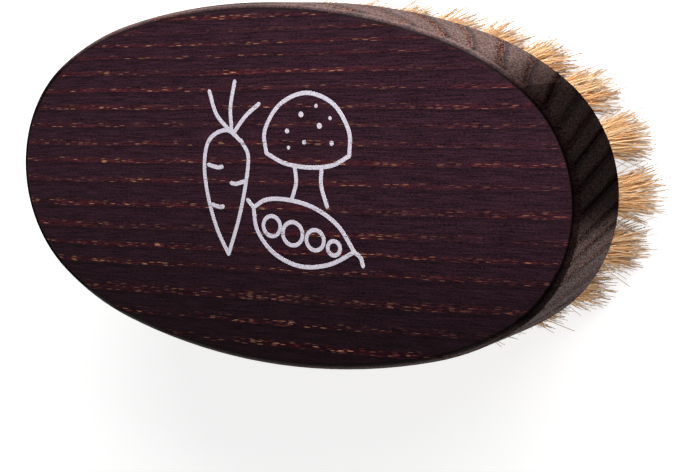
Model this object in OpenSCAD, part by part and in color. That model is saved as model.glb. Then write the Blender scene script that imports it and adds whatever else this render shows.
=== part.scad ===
// Oval vegetable brush: a wooden block with three rings of folded fibre tufts.
// It stands on its bristle tips at z = 0, with the wooden back facing up.
// X runs along the block, Y across it, and the origin is under the middle.

/* [Block] */
// Length of the block
length = 130; // [116:1:150]
// Width of the block
width = 72; // [66:1:80]
// Thickness of the block
thickness = 20; // [17:0.5:24]
// Radius of each end of the oval
end_r = 27.5; // [25:0.5:28.5]
// Rounding of the edge round the back
back_edge_r = 1.6; // [0.5:0.1:4]
// Rounding of the edge on the bristle side
front_edge_r = 1; // [0.4:0.1:3]

/* [Tuft holes] */
// Diameter of a tuft hole
hole_d = 5; // [4:0.1:5.6]
// Depth of a tuft hole, along its own axis
hole_depth = 12; // [9:0.5:13.5]
// Distance from the rim of the block to the outer ring of holes
rim_margin = 6.5; // [5.5:0.5:8]
// Gap between the two innermost rows, in row spacings
middle_gap = 1.27; // [1.1:0.01:1.4]
// Number of tufts in the outer ring
outer_count = 28; // [20:1:28]
// Number of tufts in the middle ring
middle_count = 18; // [12:1:18]
// Number of tufts in the inner ring
inner_count = 12; // [8:1:12]
// Outward lean of the outer tufts
outer_lean = 9; // [4:1:12]
// Outward lean of the middle tufts
middle_lean = 5.5; // [2:0.5:8]
// Outward lean of the inner tufts
inner_lean = 2.5; // [0:0.5:4]

/* [Tufts] */
// Free length of the bristles below the block
bristle_len = 20; // [14:1:30]
// Gap between a packed tuft and the wall of its hole
tuft_gap = 0.1; // [0.05:0.05:0.2]
// How far the packed root stands out of its hole
root_out = 0.5; // [0.4:0.1:1.5]
// Strands in one tuft, one in the middle and the rest round it
strand_count = 8; // [6:1:8]
// Radius of a strand at the root
strand_root_r = 0.6; // [0.4:0.05:0.65]
// Radius of a strand at the tip
strand_tip_r = 0.65; // [0.3:0.05:0.65]
// Gap left at the tips between the strands of neighbouring tufts
fan_gap = 0.5; // [0.2:0.1:2]
// Uneven length of the tips
tip_spread = 1.4; // [0:0.1:3]
// How much of the longest tips is trimmed flat to stand on
tip_trim = 0.5; // [0.1:0.1:1]

/* [Anchors] */
// Thickness of the flat wire anchor
anchor_t = 0.4; // [0.3:0.05:0.6]
// Height of the anchor, along the hole
anchor_h = 2; // [1.5:0.1:3]
// How far each end of the anchor bites into the wood
anchor_bite = 0.6; // [0.3:0.1:1]
// Thickness of the fold of fibres over the anchor
fold = 1.2; // [0.8:0.1:2]
// Gap all round the anchor
anchor_gap = 0.05; // [0.02:0.01:0.1]
// Angle of the anchors to the grain
anchor_turn = 45; // [0:5:90]

/* [Hidden] */
ring_names = ["outer_tuft_", "middle_tuft_", "inner_tuft_"];
ring_counts = [outer_count, middle_count, inner_count];
ring_leans = [outer_lean, middle_lean, inner_lean];
rings = [0, 1, 2];

outline_fn = 240;
hole_fn = 48;
// How far a cutter runs past the face that it cuts
past = 1;
// Turn from one tuft's pattern of strands to the next one's
twist_step = 47;
// Above 1, the strands spread more towards their tips than at the root
flare = 1.3;
strand_sides = 3;
// Turn of a strand's section from that of the strand before it
strand_twist = 60;
// Step from one ring to the next in the seeds of the uneven tips
ring_seed = 100;
// Shares of the way from the mouth to the tip at which a strand has a section
strand_levels = [0, 0.5, 1];
// How deep the strands are rooted in the packed part of the tuft
root_sunk = 2 * root_out;

half_l = length / 2;
half_w = width / 2;
top_z = bristle_len + thickness;
tuft_d = hole_d - 2 * tuft_gap;
row_step = (half_w - rim_margin) / (len(rings) - 1 + middle_gap / 2);

// The quarter oval has an end arc, a shoulder arc and a side arc, each tangent to the next.
// They meet on rays at the angles of a 3-4-5 triangle and of a 7-24-25 triangle.
end_angle = atan2(4, 3);
side_angle = atan2(24, 7);
// The shoulder radius is the one that brings the side arc to the right width.
side_share = 1 / cos(side_angle) - tan(side_angle);
end_share = sin(end_angle) + cos(end_angle) * side_share;
end_x = half_l - end_r;
shoulder_r = fine((half_w - end_r * end_share - end_x * side_share) / (1 - end_share));
shoulder_x = end_x - (shoulder_r - end_r) * cos(end_angle);
shoulder_y = -(shoulder_r - end_r) * sin(end_angle);
side_r = fine(shoulder_r + shoulder_x / cos(side_angle));

// A length rounded to the nearest thousandth of a millimetre
function fine(x) = round(1000 * x) / 1000;

// Angle at which the shoulder arc starts on the curve that lies a distance inside the rim
function shoulder_from(inset) =
    inset < end_r ? end_angle : asin(min(1, -shoulder_y / (shoulder_r - inset)));

// The arcs of the quarter curve, each as centre x, centre y, radius, first and last angle
function quarter(inset) = [
    if (inset < end_r) [end_x, 0, end_r - inset, 0, end_angle],
    [shoulder_x, shoulder_y, shoulder_r - inset, shoulder_from(inset), side_angle],
    [0, half_w - side_r, side_r - inset, side_angle, 90]
];

function arc_length(arc) = arc[2] * (arc[4] - arc[3]) * PI / 180;
function curve_length(arcs, k = 0) =
    k < len(arcs) ? arc_length(arcs[k]) + curve_length(arcs, k + 1) : 0;

// Point at a distance along the arcs, as x, y and the direction of the outward normal
function walk(arcs, s, k = 0) =
    k < len(arcs) - 1 && s > arc_length(arcs[k])
        ? walk(arcs, s - arc_length(arcs[k]), k + 1)
        : let (
              arc = arcs[k],
              angle = arc[3] + s / arc[2] * 180 / PI
          )
          [arc[0] + arc[2] * cos(angle), arc[1] + arc[2] * sin(angle), cos(angle), sin(angle)];

// Mouth of tuft i of ring r: x, y and the outward direction, evenly spaced round the ring
function mouth(r, i) =
    let (
        arcs = quarter(rim_margin + r * row_step),
        quarter_len = curve_length(arcs),
        s = 4 * quarter_len * i / ring_counts[r],
        q = min(3, floor(s / quarter_len)),
        part = s - q * quarter_len,
        p = walk(arcs, q % 2 == 0 ? part : quarter_len - part),
        sx = q == 1 || q == 2 ? -1 : 1,
        sy = q > 1 ? -1 : 1
    )
    [sx * p[0], sy * p[1], sx * p[2], sy * p[3]];

function heading(m) = atan2(m[3], m[2]);
function tuft_name(r, i) = str(ring_names[r], i < 9 ? "0" : "", i + 1);

// Middle of the tips of a tuft, seen from below
function tip_centre(r, i) =
    let (m = mouth(r, i))
    [m[0], m[1]] + [m[2], m[3]] * bristle_len * tan(ring_leans[r]);

tip_centres = [for (r = rings) [for (i = [0 : ring_counts[r] - 1]) tip_centre(r, i)]];

// Radius to which a tuft's strands fan out, half way to its nearest neighbour
function fan_radius(r, i) =
    let (
        here = tip_centres[r][i],
        gaps = [
            for (q = rings, k = [0 : ring_counts[q] - 1])
                if (q != r || k != i) norm(tip_centres[q][k] - here)
        ]
    )
    (min(gaps) - fan_gap) / 2 - strand_tip_r;

// Half of the block's section, from the axis of an arc out to its rounded edges
module section(r) {
    difference() {
        square([r, thickness]);
        translate([r - back_edge_r, thickness - back_edge_r])
            corner(back_edge_r, 1);
        translate([r - front_edge_r, front_edge_r])
            corner(front_edge_r, -1);
    }
}

// What a rounded edge leaves out of a square one
module corner(r, up) {
    difference() {
        translate([0, up > 0 ? 0 : -r])
            square([r, r]);
        circle(r, $fn = hole_fn);
    }
}

// Frame whose X axis runs through the point where the end arc meets the shoulder arc
module end_joint() {
    translate([end_x, 0, 0])
        rotate([0, 0, end_angle])
            children();
}

// Frame whose X axis runs through the point where the shoulder arc meets the side arc
module side_joint() {
    end_joint()
        translate([end_r - shoulder_r, 0, 0])
            rotate([0, 0, side_angle - end_angle])
                children();
}

// Everything on one side of the X axis
module half_space(side) {
    translate([-2 * length, side > 0 ? 0 : -4 * length, -top_z])
        cube([4 * length, 4 * length, 3 * top_z]);
}

module disc(r) {
    translate([0, 0, bristle_len])
        rotate_extrude($fn = outline_fn)
            section(r);
}

// The quarter of the block at +X and +Y
module quarter_block() {
    intersection() {
        union() {
            intersection() {
                end_joint() half_space(-1);
                translate([end_x, 0, 0]) disc(end_r);
            }
            intersection() {
                end_joint() half_space(1);
                side_joint() half_space(-1);
                end_joint() translate([end_r - shoulder_r, 0, 0]) disc(shoulder_r);
            }
            intersection() {
                side_joint() half_space(1);
                side_joint() translate([shoulder_r - side_r, 0, 0]) disc(side_r);
            }
        }
        cube([length, width, 2 * top_z]);
    }
}

// Places its children at a tuft's mouth, with +Z running into the hole
module at_mouth(r, i) {
    m = mouth(r, i);
    translate([m[0], m[1], bristle_len])
        rotate([0, 0, heading(m)])
            rotate([0, -ring_leans[r], 0])
                rotate([0, 0, -heading(m)])
                    children();
}

module anchor_shape(gap) {
    rotate([0, 0, anchor_turn])
        translate([0, 0, hole_depth - fold - anchor_h / 2])
            cube([hole_d + 2 * anchor_bite + 2 * gap, anchor_t + 2 * gap, anchor_h + 2 * gap], center = true);
}

module block() {
    color([0.25, 0.16, 0.15])
    difference() {
        for (mx = [0, 1], my = [0, 1])
            mirror([mx, 0, 0])
                mirror([0, my, 0])
                    quarter_block();
        for (r = rings, i = [0 : ring_counts[r] - 1])
            at_mouth(r, i) {
                translate([0, 0, -past])
                    cylinder(d = hole_d, h = hole_depth + past, $fn = hole_fn);
                anchor_shape(anchor_gap);
            }
    }
}

module anchors() {
    color([0.75, 0.75, 0.77])
    for (r = rings, i = [0 : ring_counts[r] - 1])
        at_mouth(r, i)
            anchor_shape(0);
}

// Direction of strand j from the middle of its tuft, or none for the middle strand
function strand_side(j, turn) =
    let (angle = turn + 360 * j / (strand_count - 1))
    j == 0 ? [0, 0] : [cos(angle), sin(angle)];

// Level section of a strand
function strand_section(centre, r, turn, z) = [
    for (k = [0 : strand_sides - 1])
        let (angle = turn + 360 * k / strand_sides)
        [centre[0] + r * cos(angle), centre[1] + r * sin(angle), z]
];

// One strand, flared outward from its root in the tuft, with its end cut level
module strand(m, lean, side, fan, turn, tip_z) {
    drop = bristle_len - tip_z;
    root_ring_r = tuft_d / 2 - tuft_gap - strand_root_r;
    points = [
        for (level = strand_levels)
            let (
                down = level == 0 ? -root_sunk : level * drop,
                away = down * tan(lean),
                spread = root_ring_r + (fan - root_ring_r) * pow(level, flare),
                centre = [m[0], m[1]] + [m[2], m[3]] * away + side * spread,
                r = strand_root_r + (strand_tip_r - strand_root_r) * level
            )
            each strand_section(centre, r, turn, bristle_len - down)
    ];
    last = len(strand_levels) - 1;
    root_face = [for (k = [strand_sides - 1 : -1 : 0]) k];
    tip_face = [for (k = [0 : strand_sides - 1]) last * strand_sides + k];
    walls = [
        for (n = [0 : last - 1], k = [0 : strand_sides - 1])
            let (
                a = n * strand_sides + k,
                b = n * strand_sides + (k + 1) % strand_sides
            )
            each [[a, b, a + strand_sides], [b, b + strand_sides, a + strand_sides]]
    ];
    polyhedron(points, concat([root_face], [tip_face], walls));
}

// One tuft: the packed root folded over its anchor, and the strands that fan out of it
module tuft(r, i) {
    m = mouth(r, i);
    fan = fan_radius(r, i);
    turn = heading(m) + twist_step * i;
    tips = rands(-tip_trim, tip_spread - tip_trim, strand_count, ring_seed * r + i);
    color([0.87, 0.72, 0.5])
    union() {
        at_mouth(r, i)
            difference() {
                translate([0, 0, -root_out])
                    cylinder(d = tuft_d, h = hole_depth + root_out - tuft_gap, $fn = hole_fn);
                anchor_shape(anchor_gap);
            }
        for (j = [0 : strand_count - 1])
            strand(m, ring_leans[r], strand_side(j, turn), fan, turn + strand_twist * j, max(0, tips[j]));
    }
}

block();
anchors();
for (r = rings, i = [0 : ring_counts[r] - 1])
    tuft(r, i);
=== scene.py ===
import bpy
import math
import numpy as np
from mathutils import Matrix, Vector


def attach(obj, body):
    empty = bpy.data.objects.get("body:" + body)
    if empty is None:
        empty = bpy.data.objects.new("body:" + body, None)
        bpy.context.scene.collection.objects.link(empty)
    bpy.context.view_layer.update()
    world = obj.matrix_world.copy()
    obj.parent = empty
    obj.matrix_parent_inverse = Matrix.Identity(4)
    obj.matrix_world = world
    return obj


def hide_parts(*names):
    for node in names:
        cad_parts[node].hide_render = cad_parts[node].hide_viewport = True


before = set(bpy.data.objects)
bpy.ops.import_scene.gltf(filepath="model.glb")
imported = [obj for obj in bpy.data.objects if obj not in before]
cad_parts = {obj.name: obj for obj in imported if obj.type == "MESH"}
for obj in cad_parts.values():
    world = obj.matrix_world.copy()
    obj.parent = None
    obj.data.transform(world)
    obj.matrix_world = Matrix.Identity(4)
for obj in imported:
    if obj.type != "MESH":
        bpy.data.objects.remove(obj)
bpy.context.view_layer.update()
scene = bpy.context.scene
print("frame loaded:", len(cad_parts), "nodes")


def srgb(red, green, blue):
    # a colour as the eye reads it, 0 to 255, turned into the linear one that shaders use
    linear = [c / 12.92 if c <= 0.04045 else ((c + 0.055) / 1.055) ** 2.4
              for c in (red / 255, green / 255, blue / 255)]
    return (*linear, 1.0)


black = (0, 0, 0, 1)
white = (1, 1, 1, 1)


def feed(tree, node, inputs):
    # gives each named or numbered socket a value or another node's output
    for key, value in inputs.items():
        if isinstance(value, bpy.types.NodeSocket):
            tree.links.new(value, node.inputs[key])
        else:
            node.inputs[key].default_value = value


def addNode(tree, kind, inputs=None, **settings):
    node = tree.nodes.new(kind)
    for name, value in settings.items():
        setattr(node, name, value)
    feed(tree, node, inputs or {})
    return node


def maths(tree, operation, first, second=0.0):
    return addNode(tree, "ShaderNodeMath", {0: first, 1: second}, operation=operation).outputs[0]


def times(tree, first, *others):
    for other in others:
        first = maths(tree, "MULTIPLY", first, other)
    return first


def largest(tree, first, *others):
    for other in others:
        first = maths(tree, "MAXIMUM", first, other)
    return first


def fade(tree, value, low, high, start=0.0, end=1.0):
    # smooth step from start to end while value goes from low to high
    node = addNode(tree, "ShaderNodeMapRange", {"Value": value, "From Min": low, "From Max": high,
                                                "To Min": start, "To Max": end},
                   interpolation_type="SMOOTHSTEP")
    return node.outputs["Result"]


def band(tree, value, rise, fall):
    # comes in over the first span and goes out over the second
    return times(tree, fade(tree, value, *rise), fade(tree, value, *fall, 1.0, 0.0))


def mixColour(tree, factor, first, second):
    node = addNode(tree, "ShaderNodeMix", {0: factor, 6: first, 7: second}, data_type="RGBA")
    return node.outputs[2]


def objectMm(tree):
    place = addNode(tree, "ShaderNodeTexCoord").outputs["Object"]
    return addNode(tree, "ShaderNodeVectorMath", {0: place, "Scale": 1000}, operation="SCALE").outputs[0]


def turnedZ(tree, vector, degrees):
    node = addNode(tree, "ShaderNodeVectorRotate", {"Vector": vector, "Angle": math.radians(degrees)},
                   rotation_type="Z_AXIS")
    return node.outputs[0]


def stretched(tree, vector, size):
    # coordinates in which a cell of the given size, in mm, is one unit
    node = addNode(tree, "ShaderNodeVectorMath", {0: vector, 1: [1 / s for s in size]}, operation="MULTIPLY")
    return node.outputs[0]


def noise(tree, place, size, detail=2.0):
    node = addNode(tree, "ShaderNodeTexNoise",
                   {"Vector": stretched(tree, place, size), "Scale": 1.0, "Detail": detail})
    return node.outputs["Fac"]


def cellNoise(tree, place, size):
    node = addNode(tree, "ShaderNodeTexVoronoi", {"Vector": stretched(tree, place, size), "Scale": 1.0})
    return node.outputs


def newMaterial(name):
    material = bpy.data.materials.new(name)
    material.use_nodes = True
    tree = material.node_tree
    return material, tree, tree.nodes["Principled BSDF"]


def addMesh(name, verts, faces):
    mesh = bpy.data.meshes.new(name)
    mesh.from_pydata(verts, [], faces)
    piece = bpy.data.objects.new(name, mesh)
    scene.collection.objects.link(piece)
    return piece


camera = dict(
    location=(0.16984, 0.03759, 0.2952),
    turn=(-8.3634, 31.1943, 0.7799),  # degrees about X, Y and Z
    lens=83.0255,
    sensor=36,
    nearest=0.01,
)

cameraData = bpy.data.cameras.new("camera")
cameraData.lens = camera["lens"]
cameraData.sensor_width = camera["sensor"]
cameraData.clip_start = camera["nearest"]
cameraObject = bpy.data.objects.new("camera", cameraData)
cameraObject.location = camera["location"]
cameraObject.rotation_euler = [math.radians(a) for a in camera["turn"]]
scene.collection.objects.link(cameraObject)
scene.camera = cameraObject
scene.view_settings.view_transform = "Standard"
print("camera placed")


# The block's outline is an oval of arcs, each tangent to the next. Those of a quarter meet on rays
# at the angles of a 3-4-5 and of a 7-24-25 triangle.
block = dict(
    halfLength=0.065,
    halfWidth=0.036,
    radii=(0.0275, 0.055, 0.130),  # at the end, the shoulder and the side
    underside=0.020,               # above the floor, so this is the length of the bristles too
    back=0.040,
)


# Ring-porous ash darkened by heat. The rings are wide cylinders along X, so the back shows
# straight rows of pores and the rim shows slanted bands. A span is the range of a value over
# which an effect comes in, with its strength at both ends where that isn't 0 and 1.
wood = dict(
    grainTurn=3.0,                      # degrees between the grain and the length of the block
    heart=(-193.5, -25.0),              # middle of the rings across the block and above the floor, mm
    # where each ring starts on the back, mm across the block from its middle
    ringStarts=[-41.5, -36.8, -32.0, -27.5, -22.8, -17.0, -13.3, -9.7, -4.9, 0.2, 4.3, 7.9, 11.6, 15.3,
                19.0, 22.3, 25.6, 28.0, 30.6, 33.3, 36.0, 39.0],
    waves=0.8,                          # how far the rings wander, mm
    waveSize=(60, 14, 25),
    # spring wood starts sharply and fades, and the ring ends in a dark line, in shares of a ring
    spring=((0.0, 0.04), (0.13, 0.38)),
    springChance=(0.0, 1.0, 0.55, 1.0),  # it is weaker in some rings
    ringLine=(0.76, 0.97),
    ringEnd=srgb(22, 12, 16),
    ringEndDark=(0.35, 0.75),           # on the back and on the side wall
    # grain of the board, in mm along, across and through it
    patchSize=(11, 1.3, 1.3),
    patchSpan=(0.3, 0.54),
    breakSize=(34, 4, 4),               # stretches over which a row of pores comes and goes
    breakSpan=(0.36, 0.6, 0.25, 1.0),
    speckSize=(1.3, 0.42, 0.42),
    speckSpan=(0.25, 0.65, 1.0, 0.4),
    streakSize=(6, 0.28, 0.28),
    streakSpan=(0.3, 0.7),
    mottleSize=(0.5, 0.26, 0.26),
    mottleSpan=(0.3, 0.7, 0.0, 0.5),
    streakTone=0.5,                     # share of the streaks in the tone, beside the mottle
    gritSize=(0.32, 0.32, 0.5),         # the saw and sander leave the side wall a little rough
    gritSpan=(0.35, 0.65),
    poreSize=(1.9, 0.17, 0.17),
    poreCut=0.3,                        # some pores are cut along their middle, others only just
    poreSpan=(0.34, 0.58, 1.0, 0.0),
    poreKept=(0.2, 0.3),
    poreLoose=(0.93, 0.96, 0.0, 0.4),   # a few pores lie outside the rows
    poreDeep=srgb(22, 12, 14),
    deepSpan=(0.1, 0.2, 1.0, 0.0),
    poreRed=srgb(120, 58, 58),
    poreGold=srgb(226, 162, 122),
    goldSpan=(0.55, 0.85),
    quietSpan=(10.0, 40.0, 1.0, 0.45),  # the rows of pores grow fainter along the block, mm
    paintedShadeAcross=(-38.0, 8.0, 0.68, 0.0),  # painted shade: one side of the board is darker, where less light falls, mm across
    lateLight=srgb(76, 44, 59),
    lateDark=srgb(16, 7, 12),
    earlyLight=srgb(108, 50, 54),
    earlyDark=srgb(66, 31, 38),
    sideLight=srgb(118, 92, 87),        # the side wall is sanded, and browner
    sideDark=srgb(62, 43, 39),
    sideEarly=srgb(30, 14, 12),
    sideSpeck=srgb(138, 102, 92),
    sideSpeckSpan=(0.0, 0.4, 1.0, 0.0),
    # by how upright the surface is, 0 on the back and 1 on the side wall
    wallSpan=(0.05, 0.35),
    roundedSpan=(0.9, 0.995, 1.0, 0.0),
    arris=((0.04, 0.2), (0.3, 0.5)),    # painted shade: a dark line where the rounding starts
    arrisShadeDark=0.7,
    # a painted highlight in a band along the rounded edge
    edgeHighlightBand=((0.58, 0.7), (0.78, 0.92)),
    edgeHighlightShare=(0.0, 1.0, 0.17, 0.0),  # painted highlight: less where the wood is pale, and none at the ends
    edgeHighlightTone=0.7,
    edgeHighlight=srgb(200, 178, 168),
    # by how much the side wall faces the ends of the block
    endsSpan=(0.36, 0.7),
    endGrainSpan=(0.72, 0.93),
    endGrainShadeTurn=25.0,                  # where the darkest end grain and painted shade lie, degrees off the length
    endGrainStain=0.85,                 # how much less its rings stand out
    endGrainAndShadeDark=0.92,                  # how much darker it is, partly end grain and partly painted shade
    roundedShadeDark=0.8,                    # painted shade of the same kind, on the rounded edge at the ends
    rough=(0.0, 1.0, 0.4, 0.52),
    springRough=0.15,
    # gloss of the oil, and how much of it stays on each kind of surface
    oilGloss=0.55,
    springMatt=(0.0, 1.0, 0.35, 0.95),
    gritOil=0.35,
    sideOil=0.5,
    endGrainOil=0.1,
    roundedOil=0.2,
    coatRough=0.4,
    streakHeight=0.3,
    gritHeight=0.6,
    bumpStrength=0.5,
    bumpDepth=0.00008,
)


def ringCount(tree, radius):
    # how many rings lie inside a radius, read off a curve through the ring starts
    heartY, heartZ = wood["heart"]
    backOverHeart = 1000 * block["back"] - heartZ
    radii = [math.hypot(y - heartY, backOverHeart) for y in wood["ringStarts"]]
    last = len(radii) - 1
    share = addNode(tree, "ShaderNodeMapRange",
                    {"Value": radius, "From Min": radii[0], "From Max": radii[-1]}, clamp=False)
    curve = addNode(tree, "ShaderNodeFloatCurve", {"Value": share.outputs["Result"]})
    mapping = curve.mapping
    mapping.extend = "EXTRAPOLATED"
    points = mapping.curves[0].points
    for k, value in enumerate(radii):
        place = ((value - radii[0]) / (radii[-1] - radii[0]), k / last)
        if k in (0, last):
            points[0 if k == 0 else -1].location = place
        else:
            points.new(*place)
    for point in points:
        point.handle_type = "VECTOR"
    mapping.update()
    return times(tree, curve.outputs[0], last)


def ringPlace(tree, place, acrossBlock, overFloor):
    # the share of its ring that lies inside a point, and a chance value for the whole ring
    wander = maths(tree, "SUBTRACT", noise(tree, place, wood["waveSize"]), 0.5)
    wander = times(tree, wander, 2 * wood["waves"])
    acrossY = maths(tree, "SUBTRACT", acrossBlock, wood["heart"][0])
    acrossZ = maths(tree, "SUBTRACT", overFloor, wood["heart"][1])
    squared = maths(tree, "ADD", times(tree, acrossY, acrossY), times(tree, acrossZ, acrossZ))
    ring = ringCount(tree, maths(tree, "ADD", maths(tree, "SQRT", squared), wander))
    number = maths(tree, "FLOOR", ring)
    chance = addNode(tree, "ShaderNodeTexWhiteNoise", {"W": number}, noise_dimensions="1D")
    return maths(tree, "FRACT", ring), chance.outputs["Value"]


def lengthwise(tree, vector):
    split = addNode(tree, "ShaderNodeSeparateXYZ", {0: vector})
    return maths(tree, "ABSOLUTE", split.outputs[0])


def wallMasks(tree):
    # how upright the surface is, and where the side wall and rounded edge show the ends of the fibres; the
    # end grain mask is turned to where the painted shade lies
    normal = addNode(tree, "ShaderNodeNewGeometry").outputs["Normal"]
    flat = addNode(tree, "ShaderNodeVectorMath", {0: normal, 1: (1, 1, 0)}, operation="MULTIPLY").outputs[0]
    level = addNode(tree, "ShaderNodeVectorMath", {0: flat}, operation="LENGTH").outputs["Value"]
    facing = addNode(tree, "ShaderNodeVectorMath", {0: flat}, operation="NORMALIZE").outputs[0]
    wall = fade(tree, level, *wood["wallSpan"])
    ends = times(tree, fade(tree, lengthwise(tree, facing), *wood["endsSpan"]), wall)
    rounded = times(tree, ends, fade(tree, level, *wood["roundedSpan"]))
    # turned off the grain so that the darkening falls where painted shade goes
    turned = turnedZ(tree, facing, -wood["endGrainShadeTurn"])
    endGrainAndShade = times(tree, fade(tree, lengthwise(tree, turned), *wood["endGrainSpan"]), wall)
    return level, ends, rounded, endGrainAndShade


def buildAshGrain():
    tree = bpy.data.node_groups.new("ashGrain", "ShaderNodeTree")
    place = turnedZ(tree, objectMm(tree), -wood["grainTurn"])
    split = addNode(tree, "ShaderNodeSeparateXYZ", {0: place}).outputs
    phase, ringChance = ringPlace(tree, place, split[1], split[2])
    level, ends, rounded, endGrainAndShade = wallMasks(tree)

    patches = fade(tree, noise(tree, place, wood["patchSize"], 3.0), *wood["patchSpan"])
    breaks = fade(tree, noise(tree, place, wood["breakSize"]), *wood["breakSpan"])
    specks = fade(tree, cellNoise(tree, place, wood["speckSize"])["Distance"], *wood["speckSpan"])
    streaks = fade(tree, noise(tree, place, wood["streakSize"], 3.0), *wood["streakSpan"])
    mottle = fade(tree, noise(tree, place, wood["mottleSize"]), *wood["mottleSpan"])
    tone = maths(tree, "ADD", times(tree, streaks, wood["streakTone"]), mottle)
    grit = fade(tree, noise(tree, place, wood["gritSize"]), *wood["gritSpan"])

    # open pores stand in the spring wood
    spring = times(tree, band(tree, phase, *wood["spring"]), fade(tree, ringChance, *wood["springChance"]),
                   largest(tree, breaks, level))
    cells = cellNoise(tree, place, wood["poreSize"])
    chance = addNode(tree, "ShaderNodeSeparateColor", {0: cells["Color"]}).outputs
    reach = maths(tree, "ADD", cells["Distance"], times(tree, chance[2], wood["poreCut"]))
    pores = times(tree, fade(tree, reach, *wood["poreSpan"]), fade(tree, chance[1], *wood["poreKept"]),
                  largest(tree, spring, fade(tree, chance[2], *wood["poreLoose"])))

    late = mixColour(tree, tone, wood["lateDark"], wood["lateLight"])
    late = mixColour(tree, level, late, mixColour(tree, grit, wood["sideLight"], wood["sideDark"]))
    early = mixColour(tree, tone, wood["earlyDark"], wood["earlyLight"])
    speckled = fade(tree, grit, *wood["sideSpeckSpan"])
    speckled = mixColour(tree, speckled, wood["sideEarly"], wood["sideSpeck"])
    early = mixColour(tree, level, early, speckled)
    stain = times(tree, endGrainAndShade, wood["endGrainStain"])
    early = mixColour(tree, stain, early, wood["ringEnd"])
    quiet = largest(tree, fade(tree, split[0], *wood["quietSpan"]), level)
    earlyShare = times(tree, spring, largest(tree, patches, level), largest(tree, specks, level), quiet)
    colour = mixColour(tree, earlyShare, late, early)
    endDark = fade(tree, level, 0.0, 1.0, *wood["ringEndDark"])
    ringEnd = times(tree, fade(tree, phase, *wood["ringLine"]), endDark)
    colour = mixColour(tree, ringEnd, colour, wood["ringEnd"])
    # painted shade: darker towards one side of the block, across it
    colour = mixColour(tree, fade(tree, split[1], *wood["paintedShadeAcross"]), colour, black)
    gold = times(tree, fade(tree, chance[0], *wood["goldSpan"]), quiet)
    poreColour = mixColour(tree, gold, wood["poreRed"], wood["poreGold"])
    poreColour = mixColour(tree, fade(tree, chance[0], *wood["deepSpan"]), poreColour, wood["poreDeep"])
    poreColour = mixColour(tree, stain, poreColour, wood["poreDeep"])
    colour = mixColour(tree, pores, colour, poreColour)

    # the rounded edge starts in a line of painted shade and carries a painted highlight below it, but not at
    # the ends
    arris = times(tree, band(tree, level, *wood["arris"]), wood["arrisShadeDark"])
    colour = mixColour(tree, arris, colour, black)
    unhighlighted = largest(tree, ends, times(tree, tone, wood["edgeHighlightTone"]))
    edgeHighlight = times(tree, band(tree, level, *wood["edgeHighlightBand"]), fade(tree, unhighlighted, *wood["edgeHighlightShare"]))
    colour = mixColour(tree, edgeHighlight, colour, wood["edgeHighlight"])
    # end grain drinks the oil and stays dark; painted shade darkens it further, most of all where it is
    # rounded
    dark = times(tree, endGrainAndShade, wood["endGrainAndShadeDark"])
    dark = largest(tree, dark, times(tree, rounded, wood["roundedShadeDark"]))
    colour = mixColour(tree, dark, colour, black)

    rough = maths(tree, "ADD", fade(tree, streaks, *wood["rough"]), times(tree, spring, wood["springRough"]))
    matt = largest(tree, fade(tree, specks, *wood["springMatt"]), endGrainAndShade)
    wallGrit = times(tree, grit, level)
    oil = maths(tree, "SUBTRACT", 1.0, times(tree, spring, matt))
    for mask, left in ((wallGrit, "gritOil"), (level, "sideOil"), (endGrainAndShade, "endGrainOil"),
                       (rounded, "roundedOil")):
        oil = times(tree, oil, fade(tree, mask, 0.0, 1.0, 1.0, wood[left]))
    oil = times(tree, oil, wood["oilGloss"])
    height = maths(tree, "SUBTRACT", times(tree, streaks, wood["streakHeight"]), pores)
    height = maths(tree, "SUBTRACT", height, times(tree, wallGrit, wood["gritHeight"]))

    results = {"Colour": colour, "Roughness": rough, "Height": height, "Pores": pores, "Oil": oil}
    for label in results:
        kind = "NodeSocketColor" if label == "Colour" else "NodeSocketFloat"
        tree.interface.new_socket(label, in_out="OUTPUT", socket_type=kind)
    addNode(tree, "NodeGroupOutput", results)
    return tree


def woodMaterial(grain):
    material, tree, shader = newMaterial("thermoAsh")
    group = addNode(tree, "ShaderNodeGroup", node_tree=grain).outputs
    bump = addNode(tree, "ShaderNodeBump", {"Height": group["Height"], "Strength": wood["bumpStrength"],
                                            "Distance": wood["bumpDepth"]})
    feed(tree, shader, {"Base Color": group["Colour"], "Roughness": group["Roughness"],
                        "Normal": bump.outputs[0], "Coat Weight": group["Oil"],
                        "Coat Roughness": wood["coatRough"], "Specular IOR Level": 0.0})
    return material


def dressNode(name, material):
    # a CAD node keeps its shape and gets a finish
    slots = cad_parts[name].material_slots
    if not slots:
        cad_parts[name].data.materials.append(material)
    for slot in slots:
        slot.material = material


ashGrain = buildAshGrain()
dressNode("block", woodMaterial(ashGrain))


# Drawn flat steel wire; it lies in the holes, out of sight
anchor = dict(
    colour=srgb(196, 196, 200),
    scratchSize=(0.1, 3.0, 0.05),
    rough=(0.3, 0.7, 0.25, 0.42),
)


def wireMaterial():
    material, tree, shader = newMaterial("anchorWire")
    drawn = noise(tree, objectMm(tree), anchor["scratchSize"], 3.0)
    feed(tree, shader, {"Base Color": anchor["colour"], "Metallic": 1.0,
                        "Roughness": fade(tree, drawn, *anchor["rough"])})
    return material


dressNode("anchors", wireMaterial())
print("block and anchors finished")


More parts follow.
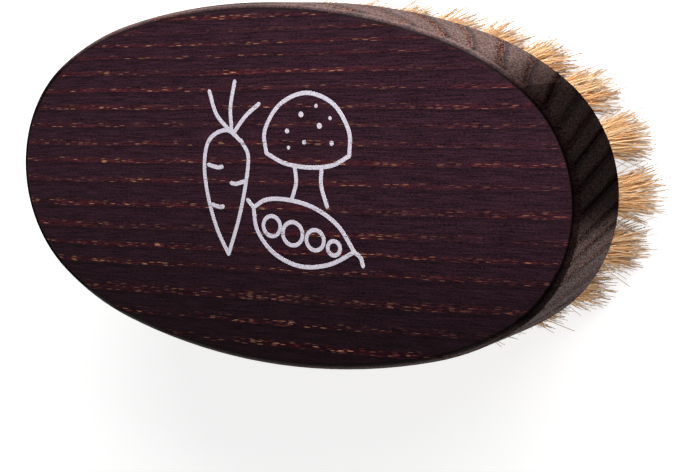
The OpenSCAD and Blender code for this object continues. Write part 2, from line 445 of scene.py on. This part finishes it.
bristle = dict(
    # name, number of tufts, degrees that they lean outward, fibres in a tuft
    rings=[("outer_tuft_", 28, 9.0, 380), ("middle_tuft_", 18, 5.5, 210), ("inner_tuft_", 12, 2.5, 210)],
    rimMargin=0.0065,           # from the rim to the outer ring
    middleGap=1.27,             # across the inner ring, in steps from ring to ring
    seedStep=100,               # between the seeds of two rings
    rootRadius=0.0023,
    rootStart=0.0015,           # how deep in its hole a fibre starts
    goldenAngle=2.399963,       # packs the root evenly, like the seeds of a sunflower
    anyTurn=6.28,               # a random turn is at most this
    shortest=0.0034,            # height of the shortest tips above the floor
    ragged=0.35,                # shares of it: how uneven the tips are
    domed=0.25,                 # and how much shorter the fibres outside are
    floorGap=0.0001,
    fan=(0.0040, 0.0054),       # how far the tips spread, away from the rim and along it
    jitter=0.001,
    strays=0.06,                # share of fibres that leave their tuft
    strayReach=0.0016,
    sweep=(0.0015, -0.0004),    # the tips all lie over a little, from use
    knee=(0.45, 0.02),          # where a fibre bends, in shares of its length and of its way out
    bend=0.0007,
    wave=0.00025,
    waveTurns=(4, 5),
    levels=6,
    corners=3,
    rootThick=0.00014,          # radius of one fibre
    tipThick=0.00006,
    thickness=(0.75, 1.2),
    taper=1.6,
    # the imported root: depth in the hole and share of its radius
    rootRows=[(-0.0005, 0.9), (0.0, 1.0), (0.006, 1.0), (0.0105, 0.98), (0.0118, 0.8)],
    rootSides=20,
    rootRipple=(0.02, 5),       # height and number of the ripples round it
)


def unit(rows):
    return rows / np.linalg.norm(rows, axis=-1, keepdims=True)


def ringArcs(inset):
    # a quarter of the curve this far inside the rim: middle x and y, radius, first and last angle
    endRadius, shoulderRadius, sideRadius = block["radii"]
    endAngle, sideAngle = math.atan2(4, 3), math.atan2(24, 7)
    endX = block["halfLength"] - endRadius
    shoulderX = endX - (shoulderRadius - endRadius) * math.cos(endAngle)
    shoulderY = (endRadius - shoulderRadius) * math.sin(endAngle)
    sideArc = (0, block["halfWidth"] - sideRadius, sideRadius - inset, sideAngle, math.pi / 2)
    if inset < endRadius:
        return [(endX, 0, endRadius - inset, 0, endAngle),
                (shoulderX, shoulderY, shoulderRadius - inset, endAngle, sideAngle), sideArc]
    startAngle = math.asin(-shoulderY / (shoulderRadius - inset))
    return [(shoulderX, shoulderY, shoulderRadius - inset, startAngle, sideAngle), sideArc]


def tuftMouth(ring, index, count):
    # middle of a tuft hole and the outward direction, evenly spaced round the ring
    ringSteps = len(bristle["rings"]) - 1 + bristle["middleGap"] / 2
    ringStep = (block["halfWidth"] - bristle["rimMargin"]) / ringSteps
    arcs = ringArcs(bristle["rimMargin"] + ring * ringStep)
    lengths = [r * (b - a) for _, _, r, a, b in arcs]
    quarter = sum(lengths)
    along = 4 * quarter * index / count
    turn = min(3, int(along // quarter))
    rest = along - turn * quarter
    rest = rest if turn % 2 == 0 else quarter - rest
    k = 0
    while k < len(arcs) - 1 and rest > lengths[k]:
        rest -= lengths[k]
        k += 1
    x, y, radius, first, _ = arcs[k]
    angle = first + rest / radius
    cosine, sine = math.cos(angle), math.sin(angle)
    signX = -1 if turn in (1, 2) else 1
    signY = -1 if turn > 1 else 1
    mouth = Vector((signX * (x + radius * cosine), signY * (y + radius * sine), 0))
    return mouth, Vector((signX * cosine, signY * sine, 0))


def tuftFrame(mouth, out, lean):
    # where a tuft starts, and the directions along it, across it and out of the block
    outward = np.array(out)
    tilt = math.radians(lean)
    return dict(
        start=np.array([mouth.x, mouth.y, block["underside"]]),
        axis=outward * math.sin(tilt) - np.array([0, 0, math.cos(tilt)]),
        across=outward * math.cos(tilt) + np.array([0, 0, math.sin(tilt)]),
        side=np.array([-outward[1], outward[0], 0]),
        outward=outward,
        slope=math.cos(tilt),
    )


def fibrePaths(chance, place, count):
    # the middle line of each fibre, from inside the hole to its tip
    start, axis, side = place["start"], place["axis"], place["side"]
    share = np.sqrt((np.arange(count) + 0.5) / count)
    angle = np.arange(count) * bristle["goldenAngle"] + chance.random() * bristle["anyTurn"]
    turnX = (np.cos(angle) * share)[:, None]
    turnY = (np.sin(angle) * share)[:, None]
    packed = bristle["rootRadius"] - bristle["rootThick"]
    root = start - axis * bristle["rootStart"] + (place["across"] * turnX + side * turnY) * packed

    tipZ = np.abs(chance.normal(0, bristle["ragged"], count)) * bristle["shortest"]
    tipZ = np.clip(tipZ + bristle["domed"] * bristle["shortest"] * share ** 2, bristle["floorGap"], None)
    reach = (block["underside"] - tipZ) / place["slope"]
    fanOut, fanAlong = bristle["fan"]
    tip = start + axis * reach[:, None] + place["outward"] * turnX * fanOut + side * turnY * fanAlong
    drift = chance.normal(0, bristle["jitter"], (count, 2))
    stray = chance.random(count) < bristle["strays"]
    drift[stray] += chance.normal(0, bristle["strayReach"], (stray.sum(), 2))
    tip[:, :2] += drift + bristle["sweep"]
    tip[:, 2] = tipZ

    t = np.linspace(0, 1, bristle["levels"])[None, :, None]
    kneeAlong, kneeOut = bristle["knee"]
    knee = root + axis * (reach * kneeAlong)[:, None] + (tip - root) * kneeOut
    knee += np.c_[chance.normal(0, bristle["bend"], (count, 2)), np.zeros(count)]
    path = root[:, None] * (1 - t) ** 2 + 2 * knee[:, None] * t * (1 - t) + tip[:, None] * t ** 2
    wave = chance.normal(0, 1, (count, 1, 2)) * bristle["wave"]
    fewest, more = bristle["waveTurns"]
    path[:, :, :2] += wave * np.sin(t * (fewest + more * chance.random((count, 1, 1))))
    path[:, :, 2] = np.maximum(path[:, :, 2], bristle["floorGap"])
    return path


def fibreTubes(chance, path, side):
    # tapered tubes round the middle lines, closed at both ends, with a tone and a place along them
    count, levels, _ = path.shape
    corners = bristle["corners"]
    along = np.linspace(0, 1, levels)
    thinner = (bristle["tipThick"] - bristle["rootThick"]) * along ** bristle["taper"]
    thick = chance.uniform(*bristle["thickness"], (count, 1)) * (bristle["rootThick"] + thinner)
    ahead = unit(path[:, -1] - path[:, 0])
    first = unit(np.cross(ahead, side))
    second = np.cross(ahead, first)
    spin = chance.random(count) * bristle["anyTurn"]
    points = []
    for k in range(corners):
        a = spin + k * 2 * math.pi / corners
        arm = first * np.cos(a)[:, None] + second * np.sin(a)[:, None]
        points.append(path + arm[:, None] * thick[:, :, None])
    points = np.stack(points, axis=2)  # fibre, level, corner, xyz
    points[..., 2] = np.maximum(points[..., 2], 0.0)

    grid = np.arange(count * levels * corners).reshape(count, levels, corners)
    low, high = grid[:, :-1], grid[:, 1:]
    walls = np.stack([low, np.roll(low, -1, 2), np.roll(high, -1, 2), high], axis=-1)
    faces = walls.reshape(-1, 4).tolist() + grid[:, -1].tolist() + grid[:, 0, ::-1].tolist()
    tone = np.repeat(chance.random(count), levels * corners)
    return points.reshape(-1, 3).tolist(), faces, tone, np.tile(np.repeat(along, corners), count)


def packedRoot(place, seed, base):
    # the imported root, folded over its anchor at the bottom of the hole
    rows, sides = bristle["rootRows"], bristle["rootSides"]
    rippleHeight, ripples = bristle["rootRipple"]
    verts, faces = [], []
    for depth, width in rows:
        for k in range(sides):
            a = 2 * math.pi * k / sides
            ripple = width * (1 + rippleHeight * math.sin(ripples * a + seed))
            arm = place["across"] * math.cos(a) + place["side"] * math.sin(a)
            p = place["start"] - place["axis"] * depth + arm * bristle["rootRadius"] * ripple
            verts.append(p.tolist())
    for row in range(len(rows) - 1):
        for k in range(sides):
            a = base + row * sides + k
            b = base + row * sides + (k + 1) % sides
            faces.append([a, b, b + sides, a + sides])
    faces.append([base + k for k in reversed(range(sides))])
    faces.append([base + (len(rows) - 1) * sides + k for k in range(sides)])
    return verts, faces


def growTuft(name, mouth, out, lean, count, seed):
    # one tuft: fine tapered fibres that leave the hole together and fan out to ragged tips
    chance = np.random.default_rng(seed)
    place = tuftFrame(mouth, out, lean)
    path = fibrePaths(chance, place, count)
    verts, faces, tone, along = fibreTubes(chance, path, place["side"])
    rootVerts, rootFaces = packedRoot(place, seed, len(verts))
    tone = np.concatenate([tone, np.full(len(rootVerts), 0.5)])
    along = np.concatenate([along, np.zeros(len(rootVerts))])
    piece = addMesh(name, verts + rootVerts, faces + rootFaces)
    for label, values in (("fibreTone", tone), ("fibreAlong", along)):
        attribute = piece.data.attributes.new(label, "FLOAT", "POINT")
        attribute.data.foreach_set("value", values.astype(np.float32))
    piece.data.polygons.foreach_set("use_smooth", [True] * len(piece.data.polygons))
    return piece


# Dry plant fibre; the tone is a chance value for each fibre, and spans are as in the wood
fibre = dict(
    pale=srgb(255, 223, 176),
    paleTone=(0.1, 0.75),
    tan=srgb(240, 182, 120),
    # painted shade: the fibres turn tan near the root, under the block
    rootShade=(0.0, 0.35, 0.6, 0.0),
    brown=srgb(208, 148, 94),
    brownTone=(0.0, 0.16, 0.8, 0.0),
    greyTip=srgb(178, 148, 128),
    tipSpan=(0.72, 1.0),
    tipTone=(0.2, 0.9, 0.9, 0.35),
    fleckScale=900.0,
    fleckTan=(0.45, 0.7, 0.0, 0.35),
    fleckRough=(0.3, 0.7, 0.42, 0.6),
    specular=0.35,
)


def fibreMaterial():
    material, tree, shader = newMaterial("plantFibre")
    tone = addNode(tree, "ShaderNodeAttribute", attribute_name="fibreTone").outputs["Fac"]
    along = addNode(tree, "ShaderNodeAttribute", attribute_name="fibreAlong").outputs["Fac"]
    place = addNode(tree, "ShaderNodeTexCoord").outputs["Object"]
    flecks = addNode(tree, "ShaderNodeTexNoise",
                     {"Vector": place, "Scale": fibre["fleckScale"], "Detail": 2.0}).outputs["Fac"]
    colour = mixColour(tree, fade(tree, tone, *fibre["paleTone"]), fibre["tan"], fibre["pale"])
    colour = mixColour(tree, fade(tree, tone, *fibre["brownTone"]), colour, fibre["brown"])
    # painted shade near the roots of the fibres
    colour = mixColour(tree, fade(tree, along, *fibre["rootShade"]), colour, fibre["tan"])
    tips = times(tree, fade(tree, along, *fibre["tipSpan"]), fade(tree, tone, *fibre["tipTone"]))
    colour = mixColour(tree, tips, colour, fibre["greyTip"])
    colour = mixColour(tree, fade(tree, flecks, *fibre["fleckTan"]), colour, fibre["tan"])
    feed(tree, shader, {"Base Color": colour, "Roughness": fade(tree, flecks, *fibre["fleckRough"]),
                        "Specular IOR Level": fibre["specular"]})
    return material


plantFibre = fibreMaterial()
fibreTriangles = 0
for ring, (prefix, count, lean, fibres) in enumerate(bristle["rings"]):
    for index in range(count):
        node = f"{prefix}{index + 1:02d}"
        mouth, out = tuftMouth(ring, index, count)
        seed = bristle["seedStep"] * ring + index
        tuft = growTuft(node + "_fibres", mouth, out, lean, fibres, seed)
        tuft.data.materials.append(plantFibre)
        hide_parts(node)
        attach(tuft, "root")
        fibreTriangles += 2 * len(tuft.data.polygons)
print("tufts grown, about", fibreTriangles, "triangles")


# White line drawing of three vegetables, printed on the back; sizes are in mm
ink = dict(
    pale=srgb(255, 251, 255),
    worn=srgb(216, 208, 236),
    wearSize=(0.4, 0.22, 0.4),
    wearSpan=(0.35, 0.65),
    poreSpan=(0.2, 0.5),
    rough=(0.3, 0.7, 0.5, 0.65),
    bumpStrength=0.4,
    bumpDepth=0.00005,
    thick=0.03,
    overlap=0.07,     # each stroke lies this share of the thickness over the last
    width=0.86,
    bevel=0.93,       # width of the top, as a share of the foot
    capReach=0.8,     # an end runs on by this share of half the width
    capWidth=0.35,    # and narrows to this share
    middle=(1.5, 2.0),
    steps=10,         # points between two corners of a line
    roundSteps=32,
    dotSides=16,
)

# Corners that each line runs smoothly through, in mm from the middle of the drawing
drawing = dict(
    carrot=[(-8.5, 6.5), (-12.2, 8.6), (-16.4, 6.4), (-17.6, 1.2), (-16.6, -5.4), (-14.4, -11.6),
            (-11.6, -16.4)],
    carrotSide=[(-8.5, 6.5), (-6.9, 3.6), (-7.6, -2.4), (-9.2, -9.2), (-11.6, -16.4)],
    leafLeft=[(-11.2, 8.4), (-14.6, 11.6), (-16.4, 16.2)],
    leafMiddle=[(-10.9, 8.5), (-11.2, 13.2), (-10.2, 18.4)],
    leafRight=[(-10.4, 8.2), (-7.6, 11.6), (-4.4, 14.2)],
    markOne=[(-16.6, 1.4), (-14.4, 1.0), (-13.2, 1.2)],
    markTwo=[(-7.9, -1.4), (-9.8, -2.0), (-11.0, -1.9)],
    markThree=[(-15.6, -6.6), (-13.9, -7.0), (-12.9, -6.8)],
    cap=[(-2.6, 4.6), (-3.0, 9.0), (0.4, 14.2), (6.4, 16.8), (12.6, 15.0), (16.2, 10.0), (16.4, 5.2)],
    capBottom=[(-2.6, 4.6), (1.6, 2.9), (7.0, 2.4), (12.4, 3.1), (16.4, 5.2)],
    stemLeft=[(4.0, 2.6), (4.4, -0.8), (3.4, -4.2)],
    stemRight=[(10.2, 2.7), (10.2, -1.0), (11.6, -5.0)],
    podTop=[(-5.6, -6.4), (-2.4, -4.6), (2.8, -4.3), (8.6, -5.4), (14.0, -8.4), (17.8, -13.2)],
    podBottom=[(-5.6, -6.4), (-4.6, -11.0), (-0.6, -15.2), (5.6, -17.2), (12.2, -16.2), (17.8, -13.2)],
    podTail=[(17.8, -13.2), (19.2, -14.2), (19.8, -15.8)],
    podStalk=[(-5.6, -6.4), (-7.0, -5.0)],
)
# Middle and radius of each circle and dot
rounds = dict(
    peas=[(-1.2, -9.8, 2.0), (3.7, -10.9, 2.3), (8.9, -11.7, 2.0), (13.2, -12.9, 1.4)],
    dots=[(2.2, 9.2, 0.5), (5.4, 12.6, 0.6), (6.2, 7.2, 0.5), (9.6, 10.6, 0.6), (12.4, 7.4, 0.5),
          (12.0, 12.2, 0.4), (2.6, 6.0, 0.4), (8.8, 14.4, 0.4)],
)


def smoothLine(corners):
    # passes through the corners on a Catmull-Rom curve
    p = np.array(corners, float)
    p = np.vstack([2 * p[0] - p[1], p, 2 * p[-1] - p[-2]])
    line = []
    for k in range(1, len(p) - 2):
        for t in np.linspace(0, 1, ink["steps"], endpoint=False):
            line.append(0.5 * (2 * p[k] + (p[k + 1] - p[k - 1]) * t
                               + (2 * p[k - 1] - 5 * p[k] + 4 * p[k + 1] - p[k + 2]) * t ** 2
                               + (3 * p[k] - p[k - 1] - 3 * p[k + 1] + p[k + 2]) * t ** 3))
    line.append(p[-2])
    return np.array(line)


def inkPoint(x, y, lift):
    # a place on the back in metres, lifted by so many thicknesses of the ink
    middleX, middleY = ink["middle"]
    return (x + middleX) / 1000, (y + middleY) / 1000, block["back"] + lift * ink["thick"] / 1000


def inkStroke(line, verts, faces, lift, closed=False):
    # a flat closed ribbon with narrowed ends, sunk a little into the wood
    half = ink["width"] / 2
    if not closed:
        before, after = unit(line[0] - line[1]), unit(line[-1] - line[-2])
        capReach = half * ink["capReach"]
        line = np.vstack([line[0] + before * capReach, line, line[-1] + after * capReach])
    ahead = np.roll(line, -1, 0) - np.roll(line, 1, 0)
    widths = np.full(len(line), half)
    if not closed:
        ahead[0], ahead[-1] = line[1] - line[0], line[-1] - line[-2]
        widths[0] = widths[-1] = half * ink["capWidth"]
    normal = unit(np.c_[-ahead[:, 1], ahead[:, 0]])
    base = len(verts)
    for p, n, foot in zip(line, normal, widths):
        top = foot * ink["bevel"]
        for offset, rise in ((foot, -1), (top, lift), (-top, lift), (-foot, -1)):
            verts.append(inkPoint(*(p + n * offset), rise))
    count = len(line)
    for k in range(count if closed else count - 1):
        a = base + 4 * k
        b = base + 4 * ((k + 1) % count)
        for j in range(4):
            faces.append((a + j, a + (j + 1) % 4, b + (j + 1) % 4, b + j))
    if not closed:
        last = base + 4 * (count - 1)
        faces.append((base + 3, base + 2, base + 1, base))
        faces.append((last, last + 1, last + 2, last + 3))


def inkDot(x, y, radius, verts, faces):
    base, sides = len(verts), ink["dotSides"]
    for k in range(sides):
        a = 2 * math.pi * k / sides
        for r, rise in ((radius, -1), (radius * ink["bevel"], 1)):
            verts.append(inkPoint(x + r * math.cos(a), y + r * math.sin(a), rise))
    for k in range(sides):
        a = base + 2 * k
        b = base + 2 * ((k + 1) % sides)
        faces.append((a, b, b + 1, a + 1))
    faces.append([base + 2 * k + 1 for k in range(sides)])
    faces.append([base + 2 * k for k in reversed(range(sides))])


def printDrawing():
    verts, faces = [], []
    for k, corners in enumerate(drawing.values()):
        inkStroke(smoothLine(corners), verts, faces, 1 + ink["overlap"] * k)
    turn = np.linspace(0, 2 * math.pi, ink["roundSteps"], endpoint=False)
    for x, y, radius in rounds["peas"]:
        inkStroke(np.c_[x + radius * np.cos(turn), y + radius * np.sin(turn)], verts, faces, 1, closed=True)
    for x, y, radius in rounds["dots"]:
        inkDot(x, y, radius, verts, faces)
    return addMesh("printed_drawing", verts, faces)


def inkMaterial(grain):
    # the ink skips the open pores, where the wood shows through
    material, tree, shader = newMaterial("whiteInk")
    group = addNode(tree, "ShaderNodeGroup", node_tree=grain).outputs
    wear = fade(tree, noise(tree, objectMm(tree), ink["wearSize"]), *ink["wearSpan"])
    colour = mixColour(tree, wear, ink["worn"], ink["pale"])
    colour = mixColour(tree, fade(tree, group["Pores"], *ink["poreSpan"]), colour, wood["poreDeep"])
    bump = addNode(tree, "ShaderNodeBump", {"Height": group["Height"], "Strength": ink["bumpStrength"],
                                            "Distance": ink["bumpDepth"]})
    feed(tree, shader, {"Base Color": colour, "Roughness": fade(tree, group["Roughness"], *ink["rough"]),
                        "Normal": bump.outputs[0]})
    return material


printed = printDrawing()
printed.data.materials.append(inkMaterial(ashGrain))
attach(printed, "root")
print("drawing printed")


studio = dict(
    floorSize=1.6,
    floorColour=(0.8, 0.8, 0.8, 1),
    floorRough=0.9,
    floorGlow=0.76,
    horizonLevel=0.42,                  # light from just over the floor
    topLevel=0.06,                      # light from straight above
    levelSpan=(0.05, 0.75),
    mirrorSpan=(0.05, 0.45, 1.0, 0.0),  # reflections see white only this far up
)
lamps = [
    # name, place, aimed at, width, height, watts, colour
    ("keyBox", (0.06, 0.21, 0.15), (0.0, 0, 0.03), 0.42, 0.2, 0.86, (1.0, 0.98, 0.97)),
    ("rimBox", (0.09, 0.21, 0.14), (0.03, 0.02, 0.03), 0.34, 0.08, 0.3, (1.0, 0.98, 0.97)),
    ("fillBox", (0.66, -0.42, 0.16), (0, 0, 0.03), 0.7, 0.3, 1.6, (1.0, 0.98, 0.96)),
]


def layFloor():
    half = studio["floorSize"] / 2
    corners = [(-half, -half, 0), (half, -half, 0), (half, half, 0), (-half, half, 0)]
    floor = addMesh("floor", corners, [(0, 1, 2, 3)])
    material, tree, shader = newMaterial("paleFloor")
    rays = addNode(tree, "ShaderNodeLightPath").outputs
    seen = largest(tree, rays["Is Camera Ray"], rays["Is Glossy Ray"], rays["Is Transmission Ray"])
    feed(tree, shader, {"Base Color": studio["floorColour"], "Roughness": studio["floorRough"],
                        "Specular IOR Level": 0.0, "Emission Color": white,
                        "Emission Strength": times(tree, seen, studio["floorGlow"])})
    floor.data.materials.append(material)


def lightWorld():
    world = bpy.data.worlds.new("studio")
    scene.world = world
    world.use_nodes = True
    tree = world.node_tree
    place = addNode(tree, "ShaderNodeTexCoord").outputs["Generated"]
    upward = addNode(tree, "ShaderNodeSeparateXYZ", {0: place}).outputs[2]
    level = fade(tree, upward, *studio["levelSpan"], studio["horizonLevel"], studio["topLevel"])
    # the backdrop is white to the eye and in reflections, under a dark ceiling
    rays = addNode(tree, "ShaderNodeLightPath").outputs
    mirrored = times(tree, rays["Is Glossy Ray"], fade(tree, upward, *studio["mirrorSpan"]))
    seen = largest(tree, level, mirrored, rays["Is Camera Ray"], rays["Is Transmission Ray"])
    feed(tree, tree.nodes["Background"], {"Color": white, "Strength": seen})


def hangLamp(name, place, aim, width, height, watts, colour):
    light = bpy.data.lights.new(name, "AREA")
    light.shape = "RECTANGLE"
    light.size = width
    light.size_y = height
    light.energy = watts
    light.color = colour
    lamp = bpy.data.objects.new(name, light)
    lamp.location = place
    lamp.visible_camera = False
    lamp.rotation_euler = (Vector(aim) - Vector(place)).to_track_quat("-Z", "Y").to_euler()
    scene.collection.objects.link(lamp)


layFloor()
lightWorld()
for row in lamps:
    hangLamp(*row)
print("studio built")
